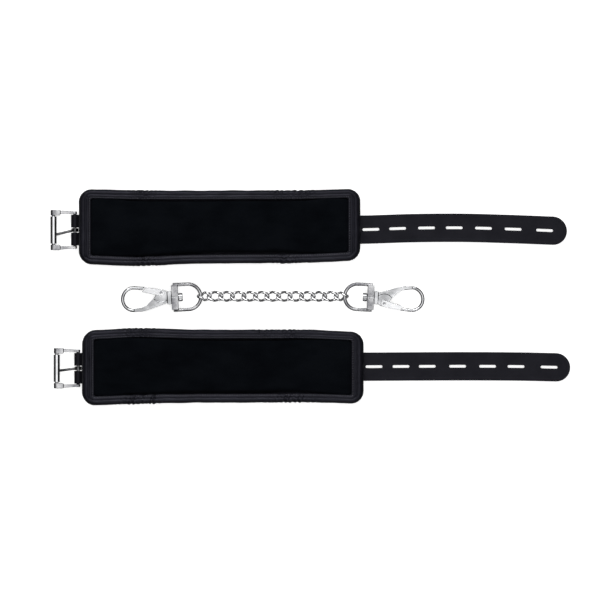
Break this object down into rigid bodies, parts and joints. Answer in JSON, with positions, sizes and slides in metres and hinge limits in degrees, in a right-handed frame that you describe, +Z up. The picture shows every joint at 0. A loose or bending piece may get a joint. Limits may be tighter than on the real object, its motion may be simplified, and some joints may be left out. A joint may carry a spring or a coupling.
{
  "type": "padded wrist cuffs with chain",
  "caption": "Pair of padded wrist cuffs with slotted straps and roller buckles, lying open and flat, and a curb chain with a swivel snap hook at each end.",
  "frame": {"origin": "centre of the set on the surface it lies on", "axes": "+X along the straps towards their tips, +Y from the lower cuff to the upper cuff, +Z up, from the outer side to the plush lining"},
  "size_m": [0.3709, 0.154, 0.0161],
  "materials": {
    "leather": "smooth dark charcoal, soft sheen",
    "binding": "dark charcoal, fine grain",
    "plush": "short black plush",
    "foam": "open-cell foam",
    "nickel": "bright nickel plate",
    "cast_nickel": "cast, nickel plated, slightly pitted"
  },
  "bodies": {
    "upper_cuff": {"upper_outer_shell": "leather", "upper_foam_core": "foam", "upper_plush_lining": "plush", "upper_edge_binding": "binding", "upper_strap": "leather", "upper_strap_loops": "leather", "upper_ring_tab": "leather", "upper_rivets": "nickel"},
    "upper_strap_tail_body": {"upper_strap_tail": "leather"},
    "upper_buckle_frame_body": {"upper_buckle_frame": "cast_nickel"},
    "upper_buckle_roller_body": {"upper_buckle_roller": "nickel"},
    "upper_buckle_tongue_body": {"upper_buckle_tongue": "nickel"},
    "upper_d_ring_body": {"upper_d_ring": "nickel"},
    "lower_cuff": {"lower_outer_shell": "leather", "lower_foam_core": "foam", "lower_plush_lining": "plush", "lower_edge_binding": "binding", "lower_strap": "leather", "lower_strap_loops": "leather", "lower_ring_tab": "leather", "lower_rivets": "nickel"},
    "lower_strap_tail_body": {"lower_strap_tail": "leather"},
    "lower_buckle_frame_body": {"lower_buckle_frame": "cast_nickel"},
    "lower_buckle_roller_body": {"lower_buckle_roller": "nickel"},
    "lower_buckle_tongue_body": {"lower_buckle_tongue": "nickel"},
    "lower_d_ring_body": {"lower_d_ring": "nickel"},
    "link_01": {"chain_link_01": "nickel"},
    "link_02": {"chain_link_02": "nickel"},
    "link_03": {"chain_link_03": "nickel"},
    "link_04": {"chain_link_04": "nickel"},
    "link_05": {"chain_link_05": "nickel"},
    "link_06": {"chain_link_06": "nickel"},
    "link_07": {"chain_link_07": "nickel"},
    "link_08": {"chain_link_08": "nickel"},
    "link_09": {"chain_link_09": "nickel"},
    "link_10": {"chain_link_10": "nickel"},
    "link_11": {"chain_link_11": "nickel"},
    "link_12": {"chain_link_12": "nickel"},
    "link_13": {"chain_link_13": "nickel"},
    "left_eye_body": {"left_eye": "cast_nickel"},
    "left_hook": {"left_hook_body": "nickel", "left_gate_pin": "nickel"},
    "left_gate_body": {"left_gate": "nickel", "left_gate_spring": "nickel"},
    "right_eye_body": {"right_eye": "cast_nickel"},
    "right_hook": {"right_hook_body": "nickel", "right_gate_pin": "nickel"},
    "right_gate_body": {"right_gate": "nickel", "right_gate_spring": "nickel"}
  },
  "joints": [
    {"name": "upper_strap_bend", "type": "hinge", "parent": "upper_cuff", "child": "upper_strap_tail_body", "pos_m": [0.03675, 0.0478, 0.001], "axis": [0, -1, 0], "range_deg": [-20, 75]},
    {"name": "upper_buckle_hinge", "type": "hinge", "parent": "upper_cuff", "child": "upper_buckle_frame_body", "pos_m": [-0.16795, 0.0478, 0.003], "axis": [0, 1, 0], "range_deg": [-10, 75]},
    {"name": "upper_roller_spin", "type": "hinge", "parent": "upper_buckle_frame_body", "child": "upper_buckle_roller_body", "pos_m": [-0.1832, 0.0478, 0.00413], "axis": [0, 1, 0], "continuous": true},
    {"name": "upper_tongue_hinge", "type": "hinge", "parent": "upper_buckle_frame_body", "child": "upper_buckle_tongue_body", "pos_m": [-0.16795, 0.0478, 0.003], "axis": [0, -1, 0], "range_deg": [0, 105]},
    {"name": "upper_ring_swing", "type": "hinge", "parent": "upper_cuff", "child": "upper_d_ring_body", "pos_m": [-0.06465, 0.0478, 0.00282], "axis": [0, 1, 0], "range_deg": [0, 165]},
    {"name": "lower_strap_bend", "type": "hinge", "parent": "lower_cuff", "child": "lower_strap_tail_body", "pos_m": [0.03905, -0.0508, 0.001], "axis": [0, -1, 0], "range_deg": [-20, 75]},
    {"name": "lower_buckle_hinge", "type": "hinge", "parent": "lower_cuff", "child": "lower_buckle_frame_body", "pos_m": [-0.16565, -0.0508, 0.003], "axis": [0, 1, 0], "range_deg": [-10, 75]},
    {"name": "lower_roller_spin", "type": "hinge", "parent": "lower_buckle_frame_body", "child": "lower_buckle_roller_body", "pos_m": [-0.1809, -0.0508, 0.00413], "axis": [0, 1, 0], "continuous": true},
    {"name": "lower_tongue_hinge", "type": "hinge", "parent": "lower_buckle_frame_body", "child": "lower_buckle_tongue_body", "pos_m": [-0.16565, -0.0508, 0.003], "axis": [0, -1, 0], "range_deg": [0, 105]},
    {"name": "lower_ring_swing", "type": "hinge", "parent": "lower_cuff", "child": "lower_d_ring_body", "pos_m": [-0.06235, -0.0508, 0.00282], "axis": [0, 1, 0], "range_deg": [0, 165]},
    {"name": "lower_cuff_lift", "type": "slide", "parent": "upper_cuff", "child": "lower_cuff", "axis": [0, 0, 1], "range_m": [0, 0.06]},
    {"name": "chain_lift", "type": "slide", "parent": "upper_cuff", "child": "link_07", "axis": [0, 0, 1], "range_m": [0, 0.12]},
    {"name": "link_08_swing", "type": "hinge", "parent": "link_07", "child": "link_08", "pos_m": [-0.02274, 0.0005, 0.0035], "axis": [0, 1, 0], "range_deg": [-22, 22]},
    {"name": "link_09_swing", "type": "hinge", "parent": "link_08", "child": "link_09", "pos_m": [-0.01451, 0.0005, 0.0035], "axis": [0, -1, 0], "range_deg": [-22, 22]},
    {"name": "link_10_swing", "type": "hinge", "parent": "link_09", "child": "link_10", "pos_m": [-0.00628, 0.0005, 0.0035], "axis": [0, 1, 0], "range_deg": [-22, 22]},
    {"name": "link_11_swing", "type": "hinge", "parent": "link_10", "child": "link_11", "pos_m": [0.00194, 0.0005, 0.0035], "axis": [0, -1, 0], "range_deg": [-22, 22]},
    {"name": "link_12_swing", "type": "hinge", "parent": "link_11", "child": "link_12", "pos_m": [0.01017, 0.0005, 0.0035], "axis": [0, 1, 0], "range_deg": [-22, 22]},
    {"name": "link_13_swing", "type": "hinge", "parent": "link_12", "child": "link_13", "pos_m": [0.0184, 0.0005, 0.0035], "axis": [0, -1, 0], "range_deg": [-22, 22]},
    {"name": "link_06_swing", "type": "hinge", "parent": "link_07", "child": "link_06", "pos_m": [-0.03096, 0.0005, 0.0035], "axis": [0, -1, 0], "range_deg": [-22, 22]},
    {"name": "link_05_swing", "type": "hinge", "parent": "link_06", "child": "link_05", "pos_m": [-0.03919, 0.0005, 0.0035], "axis": [0, 1, 0], "range_deg": [-22, 22]},
    {"name": "link_04_swing", "type": "hinge", "parent": "link_05", "child": "link_04", "pos_m": [-0.04742, 0.0005, 0.0035], "axis": [0, -1, 0], "range_deg": [-22, 22]},
    {"name": "link_03_swing", "type": "hinge", "parent": "link_04", "child": "link_03", "pos_m": [-0.05564, 0.0005, 0.0035], "axis": [0, 1, 0], "range_deg": [-22, 22]},
    {"name": "link_02_swing", "type": "hinge", "parent": "link_03", "child": "link_02", "pos_m": [-0.06387, 0.0005, 0.0035], "axis": [0, -1, 0], "range_deg": [-22, 22]},
    {"name": "link_01_swing", "type": "hinge", "parent": "link_02", "child": "link_01", "pos_m": [-0.0721, 0.0005, 0.0035], "axis": [0, 1, 0], "range_deg": [-22, 22]},
    {"name": "left_eye_swing", "type": "hinge", "parent": "link_01", "child": "left_eye_body", "pos_m": [-0.07815, 0.00055, 0.0035], "axis": [0, 1, 0], "range_deg": [-30, 30]},
    {"name": "left_swivel", "type": "hinge", "parent": "left_eye_body", "child": "left_hook", "pos_m": [-0.09908, -0.00036, 0.0035], "axis": [-0.999, -0.0436, 0], "continuous": true},
    {"name": "left_gate_hinge", "type": "hinge", "parent": "left_hook", "child": "left_gate_body", "pos_m": [-0.10659, 0.00317, 0.0035], "axis": [0, 0, 1], "range_deg": [0, 22], "stiffness_Nm_per_rad": 0.004, "springref_deg": -20.05},
    {"name": "right_eye_swing", "type": "hinge", "parent": "link_13", "child": "right_eye_body", "pos_m": [0.02445, 0.00055, 0.0035], "axis": [0, -1, 0], "range_deg": [-30, 30]},
    {"name": "right_swivel", "type": "hinge", "parent": "right_eye_body", "child": "right_hook", "pos_m": [0.04538, -0.00036, 0.0035], "axis": [0.999, -0.0436, 0], "continuous": true},
    {"name": "right_gate_hinge", "type": "hinge", "parent": "right_hook", "child": "right_gate_body", "pos_m": [0.05255, -0.00453, 0.0035], "axis": [0, 0, 1], "range_deg": [0, 22], "stiffness_Nm_per_rad": 0.004, "springref_deg": -20.05}
  ]
}
